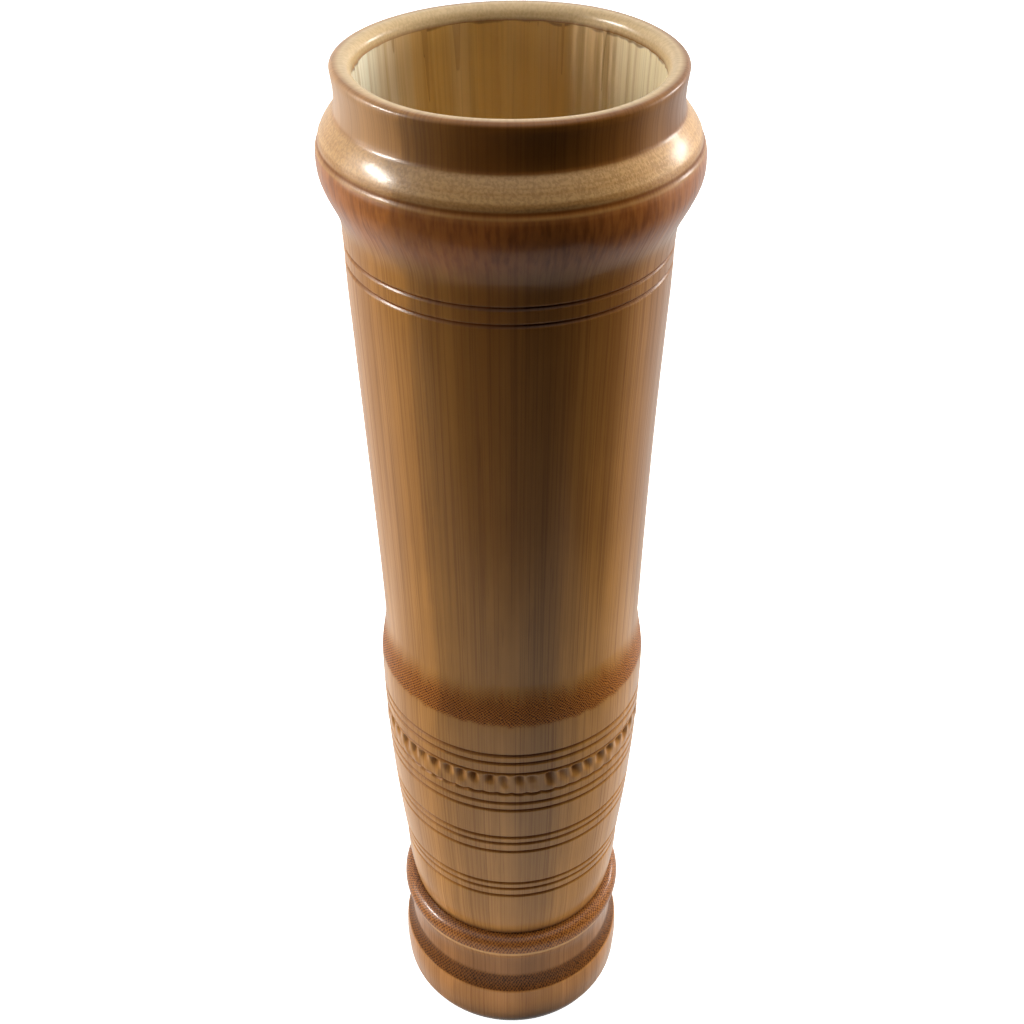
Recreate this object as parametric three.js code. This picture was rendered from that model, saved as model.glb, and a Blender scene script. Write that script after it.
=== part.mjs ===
// A tall dice cup turned from a length of bamboo culm.
//
// It comes apart into three pieces. cup_body is the bored culm: a rounded lip over a neck, a
// swelling collar, a tapering shaft, the step of the middle node and a barrel with cut lines and a
// carved band. Its lower end is a spigot that stands in the socket of foot_ring, a moulded ring that
// carries the cup. floor_disc lies on the ring's ledge inside the spigot and closes the bore.
//
// Units are millimetres, +Z is up, and the origin is the middle of the foot's underside.

import * as THREE from "three";

// Driving dimensions
const cupHeight = 240;
const lipRadius = 31.4;
const mouthRadius = 27.5;
const bulgeRadius = 35;
const shoulderRadius = 30.7;
const waistRadius = 27.9;
const barrelRadius = 29.3;
const barrelEndRadius = 25.8;
const footRadius = 27.2;
const footHeight = 32;
const fitGap = 0.3;

// Heights of the outside's stations, from the top down
const neckHeight = cupHeight - 5.5;
const bulgeTopHeight = cupHeight - 8.8;
const creaseHeight = cupHeight - 13.9;
const bulgeHeight = cupHeight - 16.7;
const shoulderHeight = cupHeight - 32;
const shaftTopHeight = cupHeight - 40;
const waistHeight = 119;
const nodeHeight = 104;

// Cut lines: shallow V grooves, with the carved band between two of them
const collarLineHeights = [203.8, 207.2];
const barrelLineHeights = [48.6, 51.4, 53.7, 66, 69, 71.2, 80.7, 83.2, 86.3, 92.7, 95.9, 98.3];
const bandFloorLine = 8;
const bandDepth = 0.4;
const lineWidth = 0.9;
const lineDepth = 0.5;
const creaseDepth = 0.5;

// The lip's edges
const lipRounding = 1;
const bevelDrop = 2;

// Where the pieces meet
const ledgeHeight = 24;
const spigotRadius = 21;
const spigotBore = 18.6;
const contactRadius = 24;
const floorThickness = 6;
const ringBore = 15;

const roundSegments = 48;
const curveSteps = 5;

const bodyTan = new THREE.MeshStandardMaterial({ color: "#96693f", roughness: 0.3, metalness: 0 });
const footTan = new THREE.MeshStandardMaterial({ color: "#8a5e38", roughness: 0.32, metalness: 0 });
const rawStraw = new THREE.MeshStandardMaterial({ color: "#b8904f", roughness: 0.7, metalness: 0 });

// The barrel swells from its lower end to its widest point under the node, as part of a parabola.
function barrelRadiusAt(height) {
  const drop = (nodeHeight - height) / (nodeHeight - barrelLineHeights[0]);
  return barrelRadius - (barrelRadius - barrelEndRadius) * drop ** 2;
}

function cutLine(outline, radiusAt, height) {
  const lower = height - lineWidth / 2;
  const upper = height + lineWidth / 2;
  outline.lineTo(radiusAt(lower), lower);
  outline.lineTo(radiusAt(height) - lineDepth, height);
  outline.lineTo(radiusAt(upper), upper);
}

// The spigot's end and wall, the face that stands on the foot, and the barrel's rounded lower end
function addSpigotAndSeat(outline) {
  const seatHeight = footHeight + fitGap;
  const firstLineEdge = barrelLineHeights[0] - lineWidth / 2;
  const roundingRadius = contactRadius + 1.2;
  const roundingHeight = footHeight + 7;
  outline.moveTo(spigotBore, ledgeHeight + fitGap);
  outline.lineTo(spigotRadius, ledgeHeight + fitGap);
  outline.lineTo(spigotRadius, seatHeight);
  outline.lineTo(contactRadius, seatHeight);
  outline.quadraticCurveTo(
    roundingRadius,
    roundingHeight,
    barrelRadiusAt(firstLineEdge),
    firstLineEdge,
  );
}

function addBarrel(outline) {
  const bandInset = 0.5;
  const bandLow = barrelLineHeights[bandFloorLine] + lineWidth / 2 + bandInset;
  const bandHigh = barrelLineHeights[bandFloorLine + 1] - lineWidth / 2 - bandInset;
  barrelLineHeights.forEach((height, index) => {
    cutLine(outline, barrelRadiusAt, height);
    if (index === bandFloorLine) {
      outline.lineTo(barrelRadiusAt(bandLow) - bandDepth, bandLow);
      outline.lineTo(barrelRadiusAt(bandHigh) - bandDepth, bandHigh);
    }
  });
  outline.lineTo(barrelRadius, nodeHeight);
}

// The step in from the barrel to the waist, and the shaft that flares from the waist upwards
function addNodeStepAndShaft(outline) {
  const stepMiddle = (nodeHeight + waistHeight) / 2;
  const flareRadius = waistRadius + 1;
  const flareHeight = (waistHeight + shaftTopHeight) / 2;
  outline.bezierCurveTo(
    barrelRadius,
    stepMiddle,
    waistRadius,
    stepMiddle,
    waistRadius,
    waistHeight,
  );
  outline.quadraticCurveTo(flareRadius, flareHeight, shoulderRadius, shaftTopHeight);
}

// The two lines, the shoulder, the bulge that swells from it, its incised line, and the neck
function addCollar(outline) {
  const swell = 7;
  const creaseRadius = bulgeRadius - 0.8;
  const neckRadius = lipRadius - 0.6;
  const junctionRadius = lipRadius + 0.3;
  for (const height of collarLineHeights) {
    cutLine(outline, () => shoulderRadius, height);
  }
  outline.lineTo(shoulderRadius, shoulderHeight);
  outline.bezierCurveTo(
    shoulderRadius,
    shoulderHeight + swell,
    bulgeRadius,
    bulgeHeight - swell,
    bulgeRadius,
    bulgeHeight,
  );
  outline.quadraticCurveTo(
    bulgeRadius,
    creaseHeight - lineWidth,
    creaseRadius,
    creaseHeight - lineWidth / 2,
  );
  outline.lineTo(creaseRadius - creaseDepth, creaseHeight);
  outline.lineTo(creaseRadius - creaseDepth / 2, creaseHeight + lineWidth / 2);
  outline.quadraticCurveTo(
    creaseRadius - creaseDepth,
    bulgeTopHeight - 2,
    junctionRadius,
    bulgeTopHeight,
  );
  outline.quadraticCurveTo(neckRadius, bulgeTopHeight + 1, neckRadius, neckHeight);
}

// A rounded outer edge, a flat top and a bevel that falls into the mouth
function addLip(outline) {
  const bevelRadius = mouthRadius + 2.2;
  outline.lineTo(lipRadius, cupHeight - lipRounding);
  outline.quadraticCurveTo(lipRadius, cupHeight, lipRadius - lipRounding, cupHeight);
  outline.lineTo(bevelRadius, cupHeight);
  outline.quadraticCurveTo(mouthRadius + fitGap, cupHeight, mouthRadius, cupHeight - bevelDrop);
}

function turned(name, outline, material) {
  const geometry = new THREE.LatheGeometry(outline.getPoints(curveSteps), roundSegments);
  geometry.rotateX(Math.PI / 2);
  const mesh = new THREE.Mesh(geometry, material);
  mesh.name = name;
  return mesh;
}

function cupBody() {
  const outline = new THREE.Path();
  addSpigotAndSeat(outline);
  addBarrel(outline);
  addNodeStepAndShaft(outline);
  addCollar(outline);
  addLip(outline);
  outline.lineTo(spigotBore, ledgeHeight + fitGap + floorThickness);
  outline.closePath();
  return turned("cup_body", outline, bodyTan);
}

// From the underside up: chamfer, plinth, slope, cove wall, bead, seat, socket and ledge
function footRing() {
  const wallRadius = footRadius - 1.8;
  const beadRadius = footRadius - 0.3;
  const beadMiddle = contactRadius + fitGap;
  const chamferWidth = 1.1;
  const chamferHeight = 6;
  const plinthHeight = 13;
  const wallLow = plinthHeight + 5;
  const wallHigh = wallLow + 6;
  const filletHeight = wallHigh + 3;
  const beadHeight = footHeight - 2.7;
  const beadRounding = 0.5;
  const outline = new THREE.Path();
  outline.moveTo(ringBore, 0);
  outline.lineTo(footRadius - chamferWidth, 0);
  outline.quadraticCurveTo(footRadius, chamferHeight / 3, footRadius, chamferHeight);
  outline.lineTo(footRadius, plinthHeight);
  outline.quadraticCurveTo(wallRadius, wallLow - 3, wallRadius, wallLow);
  outline.lineTo(wallRadius, wallHigh);
  outline.quadraticCurveTo(wallRadius, filletHeight, beadRadius - beadRounding, filletHeight);
  outline.lineTo(beadRadius, beadHeight);
  outline.absellipse(
    beadMiddle,
    beadHeight,
    beadRadius - beadMiddle,
    footHeight - beadHeight,
    0,
    Math.PI / 2,
  );
  outline.lineTo(spigotRadius + fitGap, footHeight);
  outline.lineTo(spigotRadius + fitGap, ledgeHeight);
  outline.lineTo(ringBore, ledgeHeight);
  outline.closePath();
  return turned("foot_ring", outline, footTan);
}

function floorDisc() {
  const bottom = ledgeHeight + fitGap;
  const radius = spigotBore - fitGap;
  const bevel = 0.8;
  const outline = new THREE.Path();
  outline.moveTo(0, bottom);
  outline.lineTo(radius, bottom);
  outline.lineTo(radius, bottom + floorThickness - bevel);
  outline.lineTo(radius - bevel, bottom + floorThickness);
  outline.lineTo(0, bottom + floorThickness);
  return turned("floor_disc", outline, rawStraw);
}

const diceCup = new THREE.Group();
diceCup.add(cupBody(), footRing(), floorDisc());

export default diceCup;
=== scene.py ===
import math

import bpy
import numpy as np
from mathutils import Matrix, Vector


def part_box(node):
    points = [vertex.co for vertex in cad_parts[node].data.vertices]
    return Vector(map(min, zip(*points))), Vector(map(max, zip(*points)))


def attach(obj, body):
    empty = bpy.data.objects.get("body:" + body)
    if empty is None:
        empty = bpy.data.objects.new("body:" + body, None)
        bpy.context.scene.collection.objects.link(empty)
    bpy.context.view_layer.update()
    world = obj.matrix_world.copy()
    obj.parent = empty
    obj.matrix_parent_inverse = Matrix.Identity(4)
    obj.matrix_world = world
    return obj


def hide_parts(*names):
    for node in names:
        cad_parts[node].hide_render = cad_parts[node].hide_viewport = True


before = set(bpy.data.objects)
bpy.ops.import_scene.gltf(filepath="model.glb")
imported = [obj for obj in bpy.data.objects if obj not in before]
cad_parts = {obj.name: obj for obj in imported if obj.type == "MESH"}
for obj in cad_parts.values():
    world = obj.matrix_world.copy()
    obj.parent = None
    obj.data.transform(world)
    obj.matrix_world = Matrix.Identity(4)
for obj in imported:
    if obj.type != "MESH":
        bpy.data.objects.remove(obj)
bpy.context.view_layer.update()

# A turned and lacquered bamboo dice cup, in metres. Each CAD node is replaced by a fine mesh of the
# same piece: the cup body with its cut lines, carved band and fluted bore, the foot ring and the
# floor disc. Planed walls show the culm's upright fibres as streaks, and slopes cut across the
# fibre bundles, so they show the bundles' ends as staggered dots.

MM = 0.001

# Places taken from the frame
BODY_LOW, BODY_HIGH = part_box("cup_body")
FOOT_LOW, FOOT_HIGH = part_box("foot_ring")
FLOOR_LOW, FLOOR_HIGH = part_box("floor_disc")
TOP = BODY_HIGH.z
BULGE_R = BODY_HIGH.x
FOOT_R = FOOT_HIGH.x
FOOT_TOP = FOOT_HIGH.z
GAP = 0.3 * MM

# Radii of the turned outline
LIP_R = BULGE_R - 3.6 * MM
MOUTH_R = BULGE_R - 7.5 * MM
NECK_R = LIP_R - 0.5 * MM
SHOULDER_R = BULGE_R - 4.2 * MM
WAIST_R = FOOT_R + 0.7 * MM
BARREL_R = FOOT_R + 2.1 * MM
BARREL_END_R = FOOT_R - 1.2 * MM
CONTACT_R = FOOT_R - 3.2 * MM
SPIGOT_R = FOOT_R - 6.2 * MM
BORE_END_R = FLOOR_HIGH.x + GAP
RING_BORE_R = FOOT_R - 12.2 * MM

# Heights of the turned outline
LIP_Z = TOP - 1 * MM
NECK_Z = TOP - 5.8 * MM
BULGE_TOP_Z = TOP - 8.8 * MM
CREASE_Z = TOP - 13.9 * MM
BULGE_Z = TOP - 16.7 * MM
SHOULDER_Z = TOP - 32 * MM
SHAFT_TOP_Z = TOP - 40 * MM
STEP_TOP_Z = FOOT_TOP + 86 * MM
STEP_LOW_Z = FOOT_TOP + 73 * MM
BARREL_END_Z = FOOT_TOP + 16.6 * MM
COLLAR_LINES = [TOP - drop * MM for drop in (36.2, 32.8)]
BARREL_LINES = [
    FOOT_TOP + rise * MM
    for rise in (16.6, 19.4, 21.7, 34, 37, 39.2, 48.7, 51.2, 54.3, 60.7, 63.9, 66.3)
]
BAND_LOW_Z, BAND_HIGH_Z = BARREL_LINES[8], BARREL_LINES[9]
LINE_HALF_WIDTH = 0.55 * MM
LINE_DEPTH = 0.55 * MM
CREASE_DEPTH = 0.22 * MM

NOTCHES = 56
ROUND_STEPS = NOTCHES * 10
FOOT_STEPS = 320
DISC_STEPS = 96
FLUTES = 110
STRONG_FLUTES = 16
LONG_DRIP_TURN = -2.75

# The eye: how far it stands in front of and above the foot, its pitch and its lens
EYE_IN_FRONT = 1.0548 * TOP
EYE_ABOVE = 1.3686 * TOP
EYE_PITCH = 36.4
LENS = 52.05


# ---------------------------------------------------------------- outlines


def smooth_step(value, low, high):
    """0 below low, 1 above high, and an S curve between."""
    t = np.clip((value - low) / (high - low), 0, 1)
    return t * t * (3 - 2 * t)


def flowing(stations, height):
    """The radius at each height on a smooth curve through (height, radius) stations."""
    z, r = np.array(stations).T
    slope = np.gradient(r, z)
    i = np.clip(np.searchsorted(z, height) - 1, 0, len(z) - 2)
    span = z[i + 1] - z[i]
    t = (height - z[i]) / span
    start = (1 + 2 * t) * (1 - t) ** 2 * r[i] + t * (1 - t) ** 2 * span * slope[i]
    end = t**2 * (3 - 2 * t) * r[i + 1] + t**2 * (t - 1) * span * slope[i + 1]
    return start + end


def crown_radius(z):
    """The bulge's top as a parabola, meeting the flaring neck in a small fillet."""
    bulge = BULGE_R + 0.1 * MM - 0.0575 / MM * (z - BULGE_Z) ** 2
    neck = NECK_R + (LIP_R - NECK_R) * ((z - NECK_Z) / (LIP_Z - NECK_Z)) ** 2
    fillet = 0.12 * MM
    return (bulge + neck) / 2 + np.sqrt(((bulge - neck) / 2) ** 2 + fillet**2)


def body_radius(z):
    """The cup body's outside before any line is cut."""
    rounding = np.clip((BARREL_END_Z - z) / (BARREL_END_Z - FOOT_TOP), 0, 1) ** 2.2
    end = BARREL_END_R - (BARREL_END_R - CONTACT_R) * rounding
    fall = np.clip((STEP_LOW_Z - z) / (STEP_LOW_Z - BARREL_END_Z), 0, 1)
    barrel = BARREL_R - (BARREL_R - BARREL_END_R) * fall**2
    step = (BARREL_R - WAIST_R) * smooth_step(z, STEP_LOW_Z, STEP_TOP_Z)
    rise = np.clip((z - STEP_TOP_Z) / (SHAFT_TOP_Z - STEP_TOP_Z), 0, 1)
    shaft = (SHOULDER_R - WAIST_R) * (0.65 * rise + 0.35 * rise**2)
    swell_share = 0.75 * smooth_step(z, SHOULDER_Z + 2.2 * MM, BULGE_Z - 1.3 * MM)
    swell_share += 0.25 * smooth_step(z, SHOULDER_Z - 5 * MM, BULGE_Z + 1 * MM)
    swell = SHOULDER_R + (BULGE_R + 0.1 * MM - SHOULDER_R) * swell_share
    crown = crown_radius(np.clip(z, BULGE_Z, LIP_Z))
    below = np.where(z < BARREL_END_Z, end, barrel - step + shaft)
    above = np.where(z < BULGE_Z, swell, crown)
    return np.where(z > SHAFT_TOP_Z, above, below)


def heights_with_detail(low, high, spacing, lines, half_width):
    """Row heights from low to high: an even spacing, with close rows across each cut line."""
    close = np.array((-1.25, -1, -0.7, -0.35, 0, 0.35, 0.7, 1, 1.25)) * half_width
    fine = [line + close for line in lines]
    even = np.arange(low, high, spacing)
    clear = [z for z in even if all(abs(z - line) > 1.6 * half_width for line in lines)]
    return np.unique(np.concatenate([clear, [high]] + fine))


def vee(z, line, half_width):
    """How deep a V groove centred on line is at each height, from 0 to 1."""
    return np.clip(1 - np.abs(z - line) / half_width, 0, 1)


def step_cut(z, line):
    """A groove with a steep lower side and a long upper side, from 0 to 1."""
    side = np.maximum((line - z) / (0.9 * MM), (z - line) / (1.3 * MM))
    return smooth_step(1 - side, 0, 1)


# ---------------------------------------------------------------- carved detail


def carved_band(angle, z):
    """The gouged band at each angle and height: hollow, scallop and the lower line's sway.

    Each hollow starts under the band's upper line, is deepest near it and fades out half way down.
    Below it the wood is pushed out as a small scallop over the lower line. No two are alike."""
    rng = np.random.default_rng(56)
    shift = rng.uniform(-0.1, 0.1, NOTCHES)
    width = rng.uniform(0.3, 0.42, NOTCHES)
    depth = rng.uniform(0.45, 1, NOTCHES)
    slant = rng.uniform(0.05, 0.4, NOTCHES)
    toe = rng.uniform(0.55, 0.85, NOTCHES)
    sway = rng.uniform(0.4, 1, NOTCHES)
    turns = np.mod(angle / (2 * np.pi), 1) * NOTCHES
    k = np.floor(turns).astype(int) % NOTCHES
    down = (BAND_HIGH_Z - z) / (BAND_HIGH_Z - BAND_LOW_Z)
    across = (np.mod(turns, 1) - 0.5 - shift[k] - slant[k] * (down - 0.4)) / width[k]
    bowl = np.clip(1 - across**2, 0, 1)
    start = smooth_step(down, 0.05, 0.2)
    fade = 1 - smooth_step(down, 0.12, toe[k])
    hollow = depth[k] * bowl * start * fade
    end = smooth_step(down, 0.5, 0.8) * (1 - smooth_step(down, 0.86, 1.0))
    scallop = bowl * end * sway[k]
    middle = np.clip(1 - ((np.mod(turns, 1) - 0.5) / 0.5) ** 2, 0, 1)
    return hollow, scallop, (0.5 - middle) * sway[k]


def bore_flutes(angle):
    """How far the bore's wall stands out at each angle: uneven upright flutes, in metres."""
    rng = np.random.default_rng(31)
    wall = np.zeros_like(angle)
    for number in range(FLUTES):
        strong = number < STRONG_FLUTES
        centre = rng.uniform(2.15, 2.75) if strong else rng.uniform(-np.pi, np.pi)
        half_width = rng.uniform(0.01, 0.022) if strong else rng.uniform(0.012, 0.06)
        height = rng.uniform(-0.45, 0.25) * MM if strong else rng.uniform(-0.3, 0.1) * MM
        away = np.mod(angle - centre + np.pi, 2 * np.pi) - np.pi
        wall += height * np.exp(-((away / half_width) ** 2))
    return wall


# ---------------------------------------------------------------- meshes


def revolve(name, rows, steps, warp, attributes=()):
    """A closed body of revolution from a closed loop of (radius, height) rows.

    warp(row_index, angle, radius, height) gives the points and the named vertex attributes."""
    count = len(rows)
    angle = np.linspace(0, 2 * np.pi, steps, endpoint=False)
    row, column = np.meshgrid(np.arange(count), np.arange(steps), indexing="ij")
    points, values = warp(row, angle[column], rows[row, 0], rows[row, 1])
    here = row * steps + column
    right = row * steps + (column + 1) % steps
    above = (row + 1) % count * steps + column
    above_right = (row + 1) % count * steps + (column + 1) % steps
    quads = np.stack([here, right, above_right, above], axis=-1).reshape(-1, 4)
    mesh = bpy.data.meshes.new(name)
    mesh.from_pydata(points.reshape(-1, 3).tolist(), [], quads.tolist())
    for key in attributes:
        layer = mesh.attributes.new(key, "FLOAT", "POINT")
        layer.data.foreach_set("value", values[key].astype(np.float32).ravel())
    mesh.shade_smooth()
    piece = bpy.data.objects.new(name, mesh)
    bpy.context.scene.collection.objects.link(piece)
    return piece


def round_points(angle, radius, height, shift_x=0.0):
    """Points about the cup's axis. Angle 0 faces front, and shift_x moves them to the side."""
    return np.stack(
        [radius * np.sin(angle) + shift_x, -radius * np.cos(angle), height], axis=-1
    )


def quarter(centre, size, first, last, count):
    """(radius, height) rows along part of an ellipse, from angle first to last in quarter turns."""
    return [
        (centre[0] + size[0] * math.cos(a), centre[1] + size[1] * math.sin(a))
        for a in np.linspace(first, last, count) * math.pi / 2
    ]


def lip_rows():
    """The lip: round the outer edge, across the flat top and down the bevel into the mouth."""
    rounding = TOP - LIP_Z
    bevel = 2 * MM
    rows = quarter((LIP_R - rounding, LIP_Z), (rounding, rounding), 0.15, 1, 6)
    rows += quarter((MOUTH_R + bevel, TOP - bevel), (-bevel, bevel), 1, 0, 10)
    return rows


def cup_body():
    """The cup body's mesh: outside, lip, bore and spigot as one closed loop of rows."""
    lines = BARREL_LINES + COLLAR_LINES + [CREASE_Z]
    coarse = heights_with_detail(
        FOOT_TOP + GAP, LIP_Z, 5 * MM, lines, LINE_HALF_WIDTH
    )
    band = np.linspace(BAND_LOW_Z - 0.9 * MM, BAND_HIGH_Z - 0.75 * MM, 26)
    end = FOOT_TOP + GAP + np.array((0.15, 0.4, 0.8, 1.4, 2.2, 3.2)) * MM
    step = np.arange(STEP_LOW_Z, STEP_TOP_Z, 1.6 * MM)
    collar = np.arange(SHOULDER_Z, LIP_Z, 1 * MM)
    crown = np.arange(CREASE_Z, NECK_Z, 0.4 * MM)
    outer = np.unique(np.concatenate([coarse, band, end, step, collar, crown]))
    outer = outer[np.concatenate([[True], np.diff(outer) > 0.08 * MM])]
    outside = [(float(body_radius(z)), float(z)) for z in outer if z < LIP_Z]
    lip = lip_rows()
    mouth_z = lip[-1][1]
    floor_z = FLOOR_HIGH.z
    depth = np.concatenate([(0.004, 0.012, 0.025, 0.045), np.linspace(0.08, 1, 11)])
    bore = [
        (MOUTH_R + (BORE_END_R - MOUTH_R) * t, mouth_z + (floor_z - mouth_z) * t)
        for t in depth
    ]
    spigot = [
        (BORE_END_R, BODY_LOW.z + 0.3 * MM),
        (BORE_END_R + 0.3 * MM, BODY_LOW.z),
        (SPIGOT_R - 0.4 * MM, BODY_LOW.z),
        (SPIGOT_R, BODY_LOW.z + 0.4 * MM),
        (SPIGOT_R, FOOT_TOP + GAP),
    ]
    rows = np.array(outside + lip + bore + spigot)
    first_lip, first_bore = len(outside), len(outside) + len(lip)
    first_spigot = first_bore + len(bore)

    def warp(row, angle, radius, z):
        on_outside = row < first_lip
        on_lip = (row >= first_lip) & (row < first_bore)
        in_bore = (row >= first_bore) & (row < first_spigot)
        hollow, scallop, sway = carved_band(angle, z)
        in_band = on_outside & (z > BAND_LOW_Z - 1 * MM) & (z < BAND_HIGH_Z)
        hollow, scallop = hollow * in_band, scallop * in_band
        lines_cut = sum(vee(z, line, LINE_HALF_WIDTH) for line in COLLAR_LINES)
        for line in BARREL_LINES:
            swayed = z - sway * 0.45 * MM if line == BAND_LOW_Z else z
            lines_cut = lines_cut + vee(swayed, line, LINE_HALF_WIDTH)
        crease = step_cut(z, CREASE_Z)
        waver = 0.5 + 0.5 * np.sin(angle * 3 + z / MM * 0.4)
        line_depth = LINE_DEPTH * (0.75 + 0.25 * waver)
        cut = lines_cut * line_depth + crease * CREASE_DEPTH
        cut += hollow * 1.2 * MM - scallop * 0.2 * MM
        radius = radius - np.where(on_outside, cut, 0)
        flute_share = np.clip((TOP - z) / (6 * MM), 0, 1)
        radius = radius + np.where(in_bore, bore_flutes(angle) * flute_share, 0)
        uneven = 0.08 * MM * (np.sin(5 * angle + 1.3) - np.sin(2 * angle))
        uneven = uneven - 0.25 * MM * np.exp(-(((np.mod(angle, 2 * np.pi) - 3.9) / 0.5) ** 2))
        height = z + uneven * smooth_step(z, NECK_Z, TOP)
        lean = -0.5 * MM * smooth_step(z, STEP_LOW_Z, SHAFT_TOP_Z - 20 * MM)
        lean += 0.45 * MM * smooth_step(z, SHOULDER_Z, BULGE_Z - 7 * MM)
        lean -= 0.35 * MM * smooth_step(z, BULGE_Z - 5 * MM, BULGE_TOP_Z)
        points = round_points(angle, radius, height, lean)
        return points, {
            "cut": np.where(on_outside, np.clip(lines_cut + crease**3 * 0.8, 0, 1), 0),
            "notch": hollow,
            "bore": np.where(in_bore, 1.0, 0.0),
            "pale": np.where(on_lip, smooth_step(LIP_R - radius, 0.8 * MM, 1.5 * MM), 0),
        }

    piece = revolve("turned_cup_body", rows, ROUND_STEPS, warp, ("cut", "notch", "bore", "pale"))
    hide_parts("cup_body")
    return piece


def foot_ring():
    """The foot ring's mesh: plinth, slope, wall and bead outside, socket and ledge inside."""
    low = FOOT_LOW.z
    wall_r = FOOT_R - 1.65 * MM
    bead_r = FOOT_R - 0.15 * MM
    bead_z = FOOT_TOP - 2.8 * MM
    bead_middle_r = CONTACT_R + 0.4 * MM
    plinth_z = low + 12.9 * MM
    fillet_z = low + 27.2 * MM
    outer_z = np.concatenate(
        [
            np.linspace(low, low + 5 * MM, 10),
            np.linspace(low + 5 * MM, plinth_z - 1 * MM, 5)[1:],
            np.linspace(plinth_z - 1 * MM, plinth_z + 1 * MM, 12)[1:],
            np.linspace(plinth_z + 1 * MM, low + 20 * MM, 14)[1:],
            np.linspace(low + 20 * MM, bead_z, 26)[1:],
        ]
    )
    stations = (
        (low, FOOT_R - 1.1 * MM),
        (low + 1.6 * MM, FOOT_R - 0.35 * MM),
        (low + 4.5 * MM, FOOT_R),
        (plinth_z - 0.7 * MM, FOOT_R),
        (plinth_z - 0.1 * MM, FOOT_R - 0.08 * MM),
        (plinth_z + 0.3 * MM, FOOT_R - 0.35 * MM),
        (plinth_z + 1.5 * MM, FOOT_R - 1.05 * MM),
        (plinth_z + 3 * MM, FOOT_R - 1.55 * MM),
        (plinth_z + 5 * MM, wall_r),
        (low + 24 * MM, wall_r + 0.05 * MM),
        (low + 25.8 * MM, wall_r + 0.45 * MM),
        (fillet_z - 0.5 * MM, bead_r - 0.55 * MM),
        (fillet_z + 0.3 * MM, bead_r - 0.5 * MM),
        (fillet_z + 0.8 * MM, bead_r - 0.15 * MM),
        (bead_z, bead_r),
    )
    outside = [(float(flowing(stations, z)), float(z)) for z in outer_z]
    bead_size = (bead_r - bead_middle_r, FOOT_TOP - bead_z)
    bead = quarter((bead_middle_r, bead_z), bead_size, 0, 1, 14)[1:]
    ledge_z = BODY_LOW.z - GAP
    inside = [
        (SPIGOT_R + GAP, FOOT_TOP),
        (SPIGOT_R + GAP, ledge_z),
        (RING_BORE_R, ledge_z),
        (RING_BORE_R, low + 0.5 * MM),
        (RING_BORE_R + 0.5 * MM, low),
    ]
    rows = np.array(outside + bead + inside)

    def warp(row, angle, radius, z):
        ripple = 0.05 * MM * np.sin(3 * angle + 0.8)
        on_outside = row < len(outside) + len(bead)
        radius = radius + np.where(on_outside, ripple, 0)
        fillet = np.where(row < len(outside), vee(z, fillet_z, 0.75 * MM), 0)
        lean = -0.15 * MM * on_outside
        return round_points(angle, radius, z, lean), {"pale": fillet}

    piece = revolve("turned_foot_ring", rows, FOOT_STEPS, warp, ("pale",))
    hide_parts("foot_ring")
    return piece


def floor_disc():
    """The floor disc's mesh, with shallow turned rings on its upper face."""
    radius = FLOOR_HIGH.x
    low, high = FLOOR_LOW.z, FLOOR_HIGH.z
    core = 0.2 * MM
    rounding = 1 * MM
    face_r = np.linspace(radius - 1.2 * MM, core, 30)
    top_face = [(r, high - 0.1 * MM - 0.06 * MM * math.sin(r / MM * 3.4)) for r in face_r]
    edge = quarter((radius - rounding, high - 0.2 * MM - rounding), (rounding, rounding), 0, 0.9, 6)
    under = [(core, low), (radius - 0.4 * MM, low), (radius, low + 0.4 * MM)]
    rows = np.array(under + edge + top_face)

    def warp(row, angle, radius, z):
        return round_points(angle, radius, z), {}

    piece = revolve("turned_floor_disc", rows, DISC_STEPS, warp)
    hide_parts("floor_disc")
    return piece


# ---------------------------------------------------------------- materials


def srgb(code):
    """A linear colour from a six-digit sRGB code."""
    parts = [int(code[i : i + 2], 16) / 255 for i in (0, 2, 4)]
    return (*[p / 12.92 if p < 0.04045 else ((p + 0.055) / 1.055) ** 2.4 for p in parts], 1)


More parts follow.
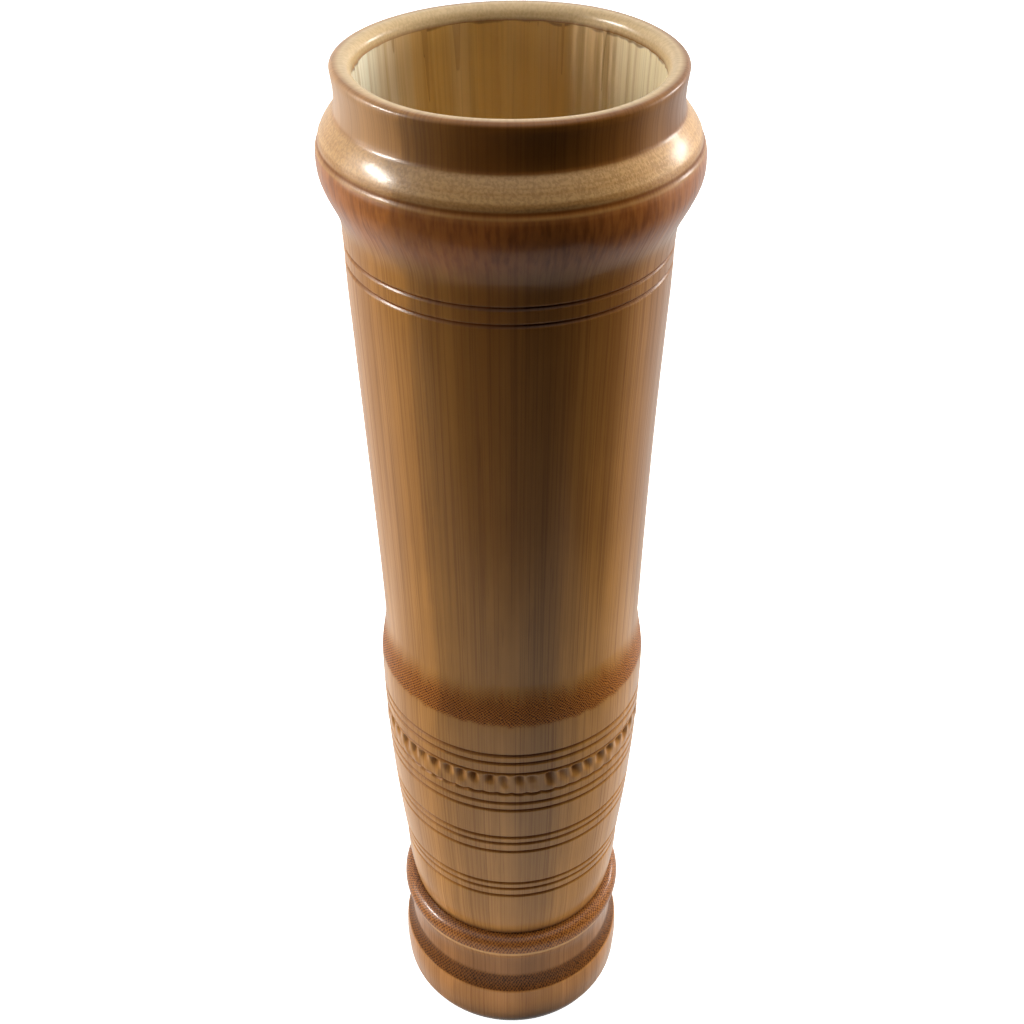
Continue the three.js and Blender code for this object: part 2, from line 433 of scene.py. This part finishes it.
class Tree:
    """Short calls for building one material's nodes."""

    def __init__(self, name):
        self.material = bpy.data.materials.new(name)
        self.material.use_nodes = True
        self.nodes = self.material.node_tree.nodes
        self.links = self.material.node_tree.links
        self.shader = self.nodes["Principled BSDF"]

    def put(self, socket, value):
        if isinstance(value, bpy.types.NodeSocket):
            self.links.new(value, socket)
        else:
            socket.default_value = value

    def finish(self, **values):
        """Set the shader's inputs by name, with _ for a space."""
        for key, value in values.items():
            self.put(self.shader.inputs[key.replace("_", " ")], value)
        return self.material

    def math(self, operation, *values, clamp=False):
        node = self.nodes.new("ShaderNodeMath")
        node.operation = operation
        node.use_clamp = clamp
        for socket, value in zip(node.inputs, values):
            self.put(socket, value)
        return node.outputs[0]

    def add(self, *values):
        return self.math("ADD", *values)

    def times(self, *values):
        return self.math("MULTIPLY", *values)

    def over(self, value, divisor):
        return self.math("DIVIDE", value, divisor)

    def ramp(self, value, low, high, to_low=0.0, to_high=1.0):
        node = self.nodes.new("ShaderNodeMapRange")
        node.interpolation_type = "SMOOTHSTEP"
        for socket, part in zip(node.inputs, (value, low, high, to_low, to_high)):
            self.put(socket, part)
        return node.outputs[0]

    def between(self, value, low, low_end, high_start, high):
        """1 from low_end to high_start, fading to 0 at low and high."""
        rise = self.ramp(value, low, low_end)
        return self.times(rise, self.ramp(value, high_start, high, 1.0, 0.0))

    def vector(self, x, y, z):
        node = self.nodes.new("ShaderNodeCombineXYZ")
        for socket, value in zip(node.inputs, (x, y, z)):
            self.put(socket, value)
        return node.outputs[0]

    def noise(self, vector, detail=2.0, roughness=0.5):
        node = self.nodes.new("ShaderNodeTexNoise")
        node.inputs["Scale"].default_value = 1
        node.inputs["Detail"].default_value = detail
        node.inputs["Roughness"].default_value = roughness
        self.put(node.inputs["Vector"], vector)
        return node.outputs["Fac"]

    def mix(self, share, first, second):
        node = self.nodes.new("ShaderNodeMix")
        node.data_type = "RGBA"
        self.put(node.inputs["Factor"], share)
        self.put(node.inputs["A"], first)
        self.put(node.inputs["B"], second)
        return node.outputs["Result"]

    def attribute(self, name):
        node = self.nodes.new("ShaderNodeAttribute")
        node.attribute_name = name
        return node.outputs["Fac"]

    def bump(self, height, distance, strength=1.0):
        node = self.nodes.new("ShaderNodeBump")
        node.inputs["Distance"].default_value = distance
        node.inputs["Strength"].default_value = strength
        self.put(node.inputs["Height"], height)
        return node.outputs["Normal"]


class Culm(Tree):
    """A bamboo material, patterned by the height, the turn and the radius about the culm's axis."""

    def __init__(self, name):
        super().__init__(name)
        self.place = self.nodes.new("ShaderNodeTexCoord").outputs["Object"]
        split = self.nodes.new("ShaderNodeSeparateXYZ")
        self.put(split.inputs[0], self.place)
        x, y, self.z = split.outputs
        self.turn = self.math("ARCTAN2", x, self.times(y, -1))
        self.radius = self.math("SQRT", self.add(self.times(x, x), self.times(y, y)))
        self.round_x = self.times(self.over(x, self.radius), WAIST_R)
        self.round_y = self.times(self.over(y, self.radius), WAIST_R)

    def streaks(self, across, along, detail=2.0, seed=0.0):
        """Noise stretched along the culm, across and along in metres."""
        height = self.add(self.over(self.z, along), seed)
        place = self.vector(
            self.over(self.round_x, across), self.over(self.round_y, across), height
        )
        return self.noise(place, detail)

    def grain(self, size, detail=2.0):
        """Noise of the same size in every direction."""
        x, y = self.over(self.round_x, size), self.over(self.round_y, size)
        return self.noise(self.vector(x, y, self.over(self.z, size)), detail)

    def dots(self, count, depth, row_pitch, sway):
        """Bundle ends in staggered rows: count round the culm, rows apart in depth. 1 at a core."""
        turn = self.add(self.turn, self.times(sway, 1.2 / WAIST_R * MM))
        depth = self.add(depth, self.times(sway, 1 * MM))
        round_wave = self.math("COSINE", self.times(turn, count))
        depth_wave = self.math("COSINE", self.times(depth, math.pi / row_pitch))
        return self.times(round_wave, depth_wave)


def fibre_ground(culm, light, fibre, deep):
    """The streaked colour of a planed wall, with its middle and its finest streaks."""
    broad = culm.streaks(8 * MM, 260 * MM, 2.0, 3.0)
    middle = culm.streaks(1.3 * MM, 150 * MM, 3.0, 5.0)
    fine = culm.streaks(0.33 * MM, 60 * MM, 2.0, 1.0)
    hair = culm.streaks(0.3 * MM, 14 * MM, 2.0, 7.0)
    mottle = culm.streaks(5 * MM, 16 * MM, 3.0, 41.0)
    ground = culm.mix(culm.ramp(culm.add(broad, culm.times(mottle, 0.3)), 0.42, 0.88), light, fibre)
    ground = culm.mix(culm.ramp(middle, 0.35, 0.7, 0.0, 0.55), ground, fibre)
    ground = culm.mix(culm.ramp(fine, 0.42, 0.72, 0.0, 0.34), ground, deep)
    ground = culm.mix(culm.ramp(hair, 0.6, 0.75, 0.0, 0.25), ground, deep)
    return ground, middle, fine


def lacquer(culm, colour, relief, fine, end_grain):
    """A glossy brown lacquer over faint relief, drawn in and dull where end_grain is 1."""
    return culm.finish(
        Base_Color=colour,
        Roughness=culm.ramp(fine, 0.2, 0.8, 0.36, 0.5),
        Specular_IOR_Level=culm.ramp(end_grain, 0, 1, 0.3, 0.15),
        Normal=culm.bump(relief, 0.04 * MM, 0.5),
        Coat_Weight=culm.ramp(end_grain, 0, 1, 0.7, 0.15),
        Coat_Roughness=0.2,
    )


def lacquered_culm():
    """The cup body's outside: planed shaft, speckled collar, stained node and pale lip."""
    light, fibre, deep = srgb("BE8643"), srgb("9D6C33"), srgb("4C2608")
    culm = Culm("lacquered_culm")
    ground, middle, fine = fibre_ground(culm, light, fibre, deep)
    mid_shaft_z = STEP_TOP_Z + 46 * MM
    # Darker and more orange towards the top of the shaft, plus painted shade by side: most at the front,
    # less on the right and least on the lit left.
    top_tint_and_side_shade = culm.ramp(culm.z, STEP_TOP_Z + 6 * MM, mid_shaft_z, 0.0, 0.4)
    top_tint_and_side_shade = culm.add(top_tint_and_side_shade, culm.ramp(culm.z, mid_shaft_z, CREASE_Z, 0.0, 0.2))
    top_tint_and_side_shade = culm.times(top_tint_and_side_shade, culm.ramp(culm.round_x, -0.8 * WAIST_R, 0.0, 0.3, 1.0))
    top_tint_and_side_shade = culm.times(top_tint_and_side_shade, culm.ramp(culm.round_x, 0.3 * WAIST_R, 0.8 * WAIST_R, 1.0, 0.7))
    ground = culm.mix(top_tint_and_side_shade, ground, srgb("6A3605"))
    sway = culm.math("SUBTRACT", culm.grain(1.6 * MM), 0.5)
    speckle = culm.ramp(culm.grain(0.45 * MM, 3.0), 0.4, 0.62)

    crown = culm.between(
        culm.z, CREASE_Z + 0.1 * MM, CREASE_Z + 0.6 * MM, BULGE_TOP_Z, BULGE_TOP_Z + 0.5 * MM
    )
    rings = culm.noise(culm.vector(0, 0, culm.over(culm.z, 1.1 * MM)), 1.0)
    rise = culm.ramp(culm.z, CREASE_Z, CREASE_Z + 3 * MM, 0.35, 0.0)
    tan = culm.mix(culm.add(culm.ramp(rings, 0.35, 0.65, 0.0, 0.5), rise), srgb("D4AA74"), srgb("A2723C"))
    tan = culm.mix(culm.times(speckle, 0.3), tan, srgb("6B4420"))
    colour = culm.mix(culm.times(crown, 0.85), ground, tan)

    ridge = culm.between(
        culm.z, CREASE_Z - 2 * MM, CREASE_Z - 1.3 * MM, CREASE_Z - 0.8 * MM, CREASE_Z - 0.2 * MM
    )
    colour = culm.mix(culm.times(ridge, 0.3), colour, srgb("C0935C"))

    neck = culm.between(culm.z, BULGE_TOP_Z, BULGE_TOP_Z + 1 * MM, LIP_Z + 0.5 * MM, TOP + 0.5 * MM)
    # Painted shade on the neck: darker at the front and on the right, light on the lit left.
    neck_side_shade = culm.ramp(culm.round_x, -0.8 * WAIST_R, -0.3 * WAIST_R, 0.05, 0.32)
    colour = culm.mix(culm.times(neck, neck_side_shade), colour, deep)

    # A painted sheen: the neck's lit left side is painted paler and greyer.
    neck_left_sheen = culm.ramp(culm.round_x, -0.9 * WAIST_R, -0.3 * WAIST_R, 0.35, 0.0)
    colour = culm.mix(culm.times(neck, neck_left_sheen), colour, srgb("C7A888"))

    # A painted contact shadow: the body's end is darkened where it sits in the foot ring.
    foot_contact_shadow = culm.ramp(culm.z, FOOT_TOP, FOOT_TOP + 3.2 * MM, 0.8, 0.0)
    colour = culm.mix(foot_contact_shadow, colour, deep)

    swell = culm.between(
        culm.z, SHOULDER_Z + 4 * MM, BULGE_Z - 6 * MM, CREASE_Z - 1.2 * MM, CREASE_Z - 0.6 * MM
    )
    patches = culm.ramp(culm.streaks(0.8 * MM, 4 * MM, 3.0, 29.0), 0.35, 0.7)
    russet = culm.mix(patches, srgb("A05C2A"), srgb("783C16"))
    colour = culm.mix(culm.times(swell, 0.7), colour, russet)

    ragged = culm.times(culm.math("SUBTRACT", culm.add(middle, fine), 1), 5 * MM)
    lower = culm.ramp(culm.add(culm.z, culm.times(sway, 2 * MM)), STEP_LOW_Z + 1.5 * MM, STEP_LOW_Z + 3 * MM)
    upper = culm.ramp(culm.add(culm.z, ragged), STEP_LOW_Z + 6 * MM, STEP_LOW_Z + 13 * MM, 1.0, 0.0)
    node = culm.times(lower, upper)
    weave = culm.dots(240, culm.z, 0.36 * MM, sway)
    tight = culm.ramp(weave, -0.2, 0.5)
    amber = culm.mix(tight, srgb("A3642A"), srgb("3A1A06"))
    colour = culm.mix(node, colour, amber)

    # Painted shade in the recesses: the cut lines, the crease and the carved hollows are darkened.
    dark = culm.math("MAXIMUM", culm.attribute("cut"), culm.times(culm.attribute("notch"), 0.9))
    colour = culm.mix(culm.times(dark, 0.85), colour, srgb("663410"))
    rim = culm.mix(culm.times(speckle, 0.2), srgb("D9BE92"), srgb("8A6838"))
    colour = culm.mix(culm.times(culm.attribute("pale"), 0.85), colour, rim)
    relief = culm.add(fine, culm.times(culm.times(speckle, crown), -0.8))
    relief = culm.add(relief, culm.times(culm.times(tight, node), -1))
    return lacquer(culm, colour, relief, fine, culm.math("MAXIMUM", node, dark))


def lacquered_foot():
    """The foot ring: streaked walls, and bundle ends on the bead and the slope."""
    light, fibre, deep = srgb("B87E46"), srgb("9A6733"), srgb("4A2208")
    culm = Culm("lacquered_foot")
    ground, _, fine = fibre_ground(culm, light, fibre, deep)
    sway = culm.math("SUBTRACT", culm.grain(0.9 * MM), 0.5)
    along = culm.add(culm.times(culm.z, 0.6), culm.times(culm.radius, -0.8))
    uneven = culm.times(culm.math("SUBTRACT", culm.grain(0.5 * MM), 0.5), 1.6)
    ends = culm.ramp(culm.add(culm.dots(205, along, 0.5 * MM, sway), uneven), -0.35, 0.5)
    low = FOOT_LOW.z
    slope = culm.between(culm.z, low + 12.9 * MM, low + 13.3 * MM, low + 17 * MM, low + 19 * MM)
    bead = culm.ramp(culm.z, low + 27.6 * MM, low + 28.4 * MM)
    umber = culm.mix(ends, srgb("6A3C16"), srgb("1A0802"))
    amber = culm.mix(ends, srgb("9A5F28"), srgb("4A2208"))
    # Painted shade under the bead: the foot's wall is darkened.
    wall = culm.between(culm.z, low + 17 * MM, low + 19 * MM, low + 24 * MM, low + 27 * MM)
    colour = culm.mix(culm.times(wall, 0.36), ground, deep)
    colour = culm.mix(culm.times(slope, 0.9), colour, umber)
    colour = culm.mix(culm.times(bead, 0.9), colour, amber)
    colour = culm.mix(culm.times(culm.attribute("pale"), 0.6), colour, srgb("D0A56C"))
    relief = culm.add(fine, culm.times(culm.times(ends, culm.math("MAXIMUM", slope, bead)), -0.7))
    return lacquer(culm, colour, relief, fine, slope)


def bare_bore():
    """The bore: bare straw-coloured culm with upright streaks, and lacquer that ran in at the lip."""
    culm = Culm("bare_bore")
    broad = culm.streaks(6 * MM, 300 * MM, 2.0, 11.0)
    middle = culm.streaks(1.2 * MM, 120 * MM, 3.0, 13.0)
    fine = culm.streaks(0.35 * MM, 30 * MM, 2.0, 17.0)
    # Painted shade and light in the bore: the back wall, which faces the front, is painted darker, and the
    # side walls paler, the left one whitest.
    away = culm.math("COSINE", culm.math("SUBTRACT", culm.turn, 3.3))
    shade = culm.add(culm.times(broad, 0.5), culm.ramp(away, 0.35, 0.95, 0.0, 0.55))
    side = culm.ramp(culm.round_x, -0.8 * WAIST_R, 0.8 * WAIST_R)
    pale = culm.mix(side, srgb("F3EDD6"), srgb("F8EAC6"))
    straw = culm.mix(culm.ramp(shade, 0.2, 0.85), pale, srgb("C2924B"))
    straw = culm.mix(culm.ramp(middle, 0.45, 0.75, 0.0, 0.45), straw, srgb("B48C4A"))
    straw = culm.mix(culm.ramp(fine, 0.45, 0.8, 0.0, 0.25), straw, srgb("84622E"))
    drips = culm.ramp(culm.streaks(1.1 * MM, 300 * MM, 1.0, 19.0), 0.66, 0.78)
    drips = culm.times(drips, culm.ramp(broad, 0.4, 0.6, 3 * MM, 14 * MM))
    # One long drip hangs at the back, a little to the left
    beside_drip = culm.math("ABSOLUTE", culm.math("SUBTRACT", culm.turn, LONG_DRIP_TURN))
    drips = culm.math("MAXIMUM", drips, culm.ramp(beside_drip, 0.01, 0.035, 9 * MM, 0.0))
    level = culm.add(culm.z, drips)
    level = culm.add(level, culm.times(culm.math("SUBTRACT", broad, 0.5), 2 * MM))
    run = culm.ramp(level, TOP - 3.1 * MM, TOP - 2.5 * MM)
    brim = culm.between(level, TOP - 3.2 * MM, TOP - 2.8 * MM, TOP - 2.7 * MM, TOP - 2.2 * MM)
    brim = culm.times(brim, culm.ramp(broad, 0.4, 0.6, 0.1, 0.6))
    colour = culm.mix(culm.times(run, 0.45), straw, srgb("8E6028"))
    colour = culm.mix(brim, colour, srgb("5A3510"))
    return culm.finish(
        Base_Color=colour,
        Roughness=culm.ramp(run, 0, 1, 0.6, 0.3),
        Normal=culm.bump(middle, 0.15 * MM, 0.6),
    )


def raw_end_grain():
    """The floor disc: a pale clouded face with the dark ends of its fibres."""
    culm = Culm("raw_end_grain")
    plane = culm_plane(culm)
    cloud = culm.noise(culm.vector(*[culm.over(part, 6 * MM) for part in plane]), 3.0)
    pores = culm.noise(culm.vector(*[culm.over(part, 0.8 * MM) for part in plane]), 1.0)
    spot = culm.ramp(pores, 0.58, 0.72)
    ground = culm.mix(culm.ramp(cloud, 0.3, 0.7), srgb("CDB27A"), srgb("A98350"))
    colour = culm.mix(culm.times(spot, 0.55), ground, srgb("7A552B"))
    return culm.finish(
        Base_Color=colour,
        Roughness=culm.ramp(cloud, 0.2, 0.8, 0.55, 0.75),
        Normal=culm.bump(spot, 0.1 * MM, 0.5),
    )


def culm_plane(culm):
    """The two lengths across the culm, and its height made eight times slower."""
    split = culm.nodes.new("ShaderNodeSeparateXYZ")
    culm.put(split.inputs[0], culm.place)
    return split.outputs[0], split.outputs[1], culm.over(split.outputs[2], 8)


def paint_bore(body):
    """The faces of the bore take the second material."""
    inside = np.zeros(len(body.data.vertices), np.float32)
    body.data.attributes["bore"].data.foreach_get("value", inside)
    for face in body.data.polygons:
        if all(inside[i] > 0.5 for i in face.vertices):
            face.material_index = 1


# ---------------------------------------------------------------- stage


def pale_floor():
    """A wide pale sheet. The cup's light comes from the room, so the sheet adds none of its own."""
    half = TOP * 14
    mesh = bpy.data.meshes.new("floor")
    corners = [(-half, -half, 0), (half, -half, 0), (half, half, 0), (-half, half, 0)]
    mesh.from_pydata(corners, [], [(0, 1, 2, 3)])
    floor = bpy.data.objects.new("floor", mesh)
    bpy.context.scene.collection.objects.link(floor)
    paper = Tree("pale_paper")
    tone = paper.noise(paper.nodes.new("ShaderNodeTexCoord").outputs["Object"], 2.0)
    colour = paper.mix(paper.ramp(tone, 0, 1), srgb("F7F7F6"), srgb("F3F3F1"))
    paper.finish(
        Base_Color=colour, Roughness=0.9, Emission_Color=(1, 1, 1, 1), Emission_Strength=1
    )
    mesh.materials.append(paper.material)
    floor.visible_glossy = False
    floor.visible_diffuse = False


def soft_box(name, place, target, size, power, colour, highlight=True, glow=True):
    """An area light at a place, facing a target, that can make a highlight, a soft glow or both."""
    light = bpy.data.lights.new(name, "AREA")
    light.shape = "RECTANGLE"
    light.size, light.size_y = size
    light.energy = power
    light.color = colour
    lamp = bpy.data.objects.new(name, light)
    lamp.location = place
    away = Vector(place) - Vector(target)
    lamp.rotation_euler = away.to_track_quat("Z", "Y").to_euler()
    lamp.visible_camera = False
    lamp.visible_glossy = highlight
    lamp.visible_diffuse = glow
    bpy.context.scene.collection.objects.link(lamp)


def studio_lights():
    """Windows and sheens seen as highlights, soft fills, and the bright floor round the foot."""
    middle = (0, 0, TOP * 0.5)
    white, warm = (1, 0.99, 0.96), (1, 0.97, 0.9)
    soft_box("left_window", (-0.77, -0.05, 0.57), middle, (0.26, 0.11), 4.6, white, glow=False)
    soft_box("right_window", (0.83, 0.47, 0.43), middle, (0.24, 0.18), 1.8, white, glow=False)
    soft_box("left_sheen", (-0.85, 0, 0.3), middle, (0.6, 0.6), 2.5, warm, glow=False)
    soft_box("left_fill", (-0.85, 0, 0.3), middle, (0.6, 0.6), 14, warm, highlight=False)
    soft_box("right_fill", (0.82, 0.35, 0.2), middle, (0.6, 0.6), 16, warm, highlight=False)
    soft_box("ceiling", (0.3, 0.02, 0.95), (0, 0, TOP), (0.5, 0.5), 4, warm, highlight=False)
    floor_middle, foot_front = Vector((-0.09, -0.035, 0.001)), Vector((0, -0.085, 0.002))
    up = Vector((0, 0, 1))
    soft_box("floor_sheen", floor_middle, floor_middle + up, (0.5, 0.27), 0.12, warm, glow=False)
    soft_box("floor_glow", foot_front, foot_front + up, (0.17, 0.1), 0.12, warm, highlight=False)


def studio_sky():
    """A pale room: the cup sees it bright behind and overhead, dim in front; the eye sees it white."""
    world = bpy.data.worlds.new("studio")
    bpy.context.scene.world = world
    world.use_nodes = True
    nodes, links = world.node_tree.nodes, world.node_tree.links
    split = nodes.new("ShaderNodeSeparateXYZ")
    links.new(nodes.new("ShaderNodeTexCoord").outputs["Generated"], split.inputs[0])

    def share(axis, low, high, strength):
        spread = nodes.new("ShaderNodeMapRange")
        spread.interpolation_type = "SMOOTHSTEP"
        for socket, value in zip(spread.inputs[1:5], (low, high, 0, strength)):
            socket.default_value = value
        links.new(split.outputs[axis], spread.inputs[0])
        return spread.outputs[0]

    behind = share("Y", -0.15, 0.85, 0.76)
    above = share("Z", 0.6, 1, 0.8)
    background = nodes["Background"]
    background.inputs["Color"].default_value = (1, 0.99, 0.97, 1)
    backdrop = nodes.new("ShaderNodeLightPath").outputs["Is Camera Ray"]
    strength = behind
    for other in (above, backdrop):
        brighter = nodes.new("ShaderNodeMath")
        brighter.operation = "MAXIMUM"
        links.new(strength, brighter.inputs[0])
        links.new(other, brighter.inputs[1])
        strength = brighter.outputs[0]
    links.new(strength, background.inputs["Strength"])


def place_camera():
    """The eye stands close in front of the cup and looks down on it."""
    data = bpy.data.cameras.new("camera")
    data.sensor_width = 36
    data.lens = LENS
    camera = bpy.data.objects.new("camera", data)
    camera.location = (0, -EYE_IN_FRONT, EYE_ABOVE)
    camera.rotation_euler = (math.radians(90 - EYE_PITCH), 0, 0)
    bpy.context.scene.collection.objects.link(camera)
    bpy.context.scene.camera = camera


# ---------------------------------------------------------------- build

body = cup_body()
foot = foot_ring()
disc = floor_disc()

body.data.materials.append(lacquered_culm())
body.data.materials.append(bare_bore())
paint_bore(body)
foot.data.materials.append(lacquered_foot())
disc.data.materials.append(raw_end_grain())
for piece in (body, foot, disc):
    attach(piece, "root")

pale_floor()
studio_lights()
studio_sky()
place_camera()
bpy.context.scene.view_settings.view_transform = "Standard"
